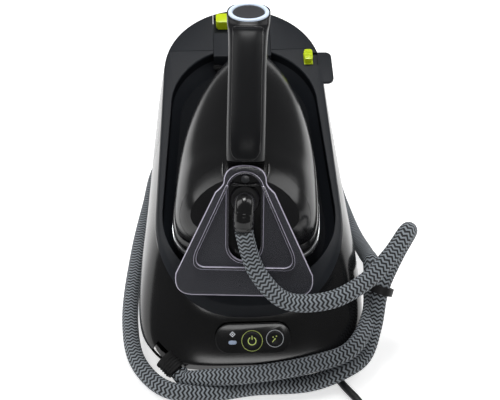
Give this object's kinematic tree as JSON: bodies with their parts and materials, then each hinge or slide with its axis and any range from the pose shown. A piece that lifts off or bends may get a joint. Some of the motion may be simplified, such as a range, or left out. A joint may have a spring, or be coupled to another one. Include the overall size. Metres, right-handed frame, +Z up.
{
  "type": "steam generator ironing station",
  "caption": "Sloping base with a dished dock, pull-out smoked water tank and front buttons; a steam iron with a clear heel plate rests nose up in it; braided steam hose wound round and tied.",
  "frame": {"origin": "on the floor, under the middle of the base", "axes": "+Z up; the control panel faces -Y and the iron's nose points towards +Y; +X is the right-hand side seen from the panel"},
  "size_m": [0.2873, 0.5263, 0.2623],
  "materials": {
    "gloss_black": "moulded, high gloss",
    "matte_deck": "fine matte texture, dark blue-grey",
    "satin_black": "satin",
    "black_plastic": "plain matte",
    "smoked_tank": "smoked transparent plastic",
    "clear_lilac": "clear polycarbonate with a faint violet tint",
    "lime": "bright yellow-green",
    "lamp_blue": "pale blue-grey diffuser",
    "ring_white": "translucent pale blue-white",
    "lens_grey": "dark grey gloss",
    "rubber": "soft black",
    "steel": "brushed",
    "aluminium": "die-cast and coated",
    "brass": "machined",
    "board": "solder mask",
    "silicone": "silicone",
    "braid": "woven zigzag braid"
  },
  "bodies": {
    "base": {"base_housing": "gloss_black", "floor_pan": "black_plastic", "foot_front_left": "rubber", "foot_front_right": "rubber", "foot_back_left": "rubber", "foot_back_right": "rubber", "dock_deck": "matte_deck", "nose_bridge": "matte_deck", "boiler_lower": "aluminium", "boiler_upper": "aluminium", "boiler_heater": "steel", "safety_valve": "brass", "thermostat": "steel", "steam_valve": "brass", "water_pump": "black_plastic", "pump_mount": "rubber", "control_board": "board", "steam_pipe": "steel", "water_pipe": "silicone", "tank_valve": "black_plastic", "core_shroud": "black_plastic", "rest_rib_left": "silicone", "rest_rib_right": "silicone", "control_panel": "gloss_black", "pilot_lamp": "lamp_blue", "hose_gland": "rubber", "hose_tie": "black_plastic", "steam_hose": "braid", "mains_gland": "rubber", "mains_lead": "black_plastic", "mains_coil": "black_plastic", "mains_plug": "black_plastic"},
    "tank": {"water_tank": "smoked_tank", "tank_cover_left": "matte_deck", "tank_cover_right": "matte_deck"},
    "iron": {"soleplate": "aluminium", "skirt": "gloss_black", "steam_chamber": "aluminium", "iron_shell": "gloss_black", "heel_plate": "clear_lilac", "rear_cover": "satin_black", "boot_socket": "satin_black", "heel_screw": "steel", "handle_shell": "satin_black", "ring_light": "ring_white", "hose_boot": "rubber", "steam_hose_upper": "braid"},
    "trigger": {"steam_trigger": "satin_black"},
    "handle_button": {"handle_button": "lens_grey"},
    "nose_latch": {"latch_knob": "lime"},
    "tank_lock": {"lock_slider": "lime"},
    "power_button": {"power_button": "satin_black"},
    "mode_button": {"mode_button": "satin_black"},
    "drain_plug": {"drain_plug": "black_plastic"}
  },
  "joints": [
    {"name": "iron_lift", "type": "slide", "parent": "base", "child": "iron", "axis": [0, -0.5, 0.866], "range_m": [0, 0.09]},
    {"name": "tank_slide", "type": "slide", "parent": "base", "child": "tank", "axis": [0, 1, 0], "range_m": [0, 0.14]},
    {"name": "nose_latch_slide", "type": "slide", "parent": "base", "child": "nose_latch", "axis": [0, -0.9703, -0.2419], "range_m": [0, 0.006]},
    {"name": "tank_lock_slide", "type": "slide", "parent": "base", "child": "tank_lock", "axis": [1, 0, 0], "range_m": [0, 0.005]},
    {"name": "power_press", "type": "slide", "parent": "base", "child": "power_button", "axis": [0, 0.7771, -0.6293], "range_m": [0, 0.0012], "stiffness_N_per_m": 1500, "springref_m": -0.001},
    {"name": "mode_press", "type": "slide", "parent": "base", "child": "mode_button", "axis": [0, 0.7771, -0.6293], "range_m": [0, 0.0012], "stiffness_N_per_m": 1500, "springref_m": -0.001},
    {"name": "trigger_pull", "type": "hinge", "parent": "iron", "child": "trigger", "pos_m": [0.00171, -0.00129, 0.23625], "axis": [-0.9982, 0.0593, 0], "range_deg": [0, 6], "stiffness_Nm_per_rad": 0.3, "springref_deg": -5.73},
    {"name": "handle_button_press", "type": "slide", "parent": "iron", "child": "handle_button", "axis": [-0.0046, -0.0783, -0.9969], "range_m": [0, 0.001], "stiffness_N_per_m": 1500, "springref_m": -0.001},
    {"name": "drain_plug_turn", "type": "hinge", "parent": "base", "child": "drain_plug", "pos_m": [0, 0.03, 0.005], "axis": [0, 0, 1], "range_deg": [0, 90]}
  ]
}
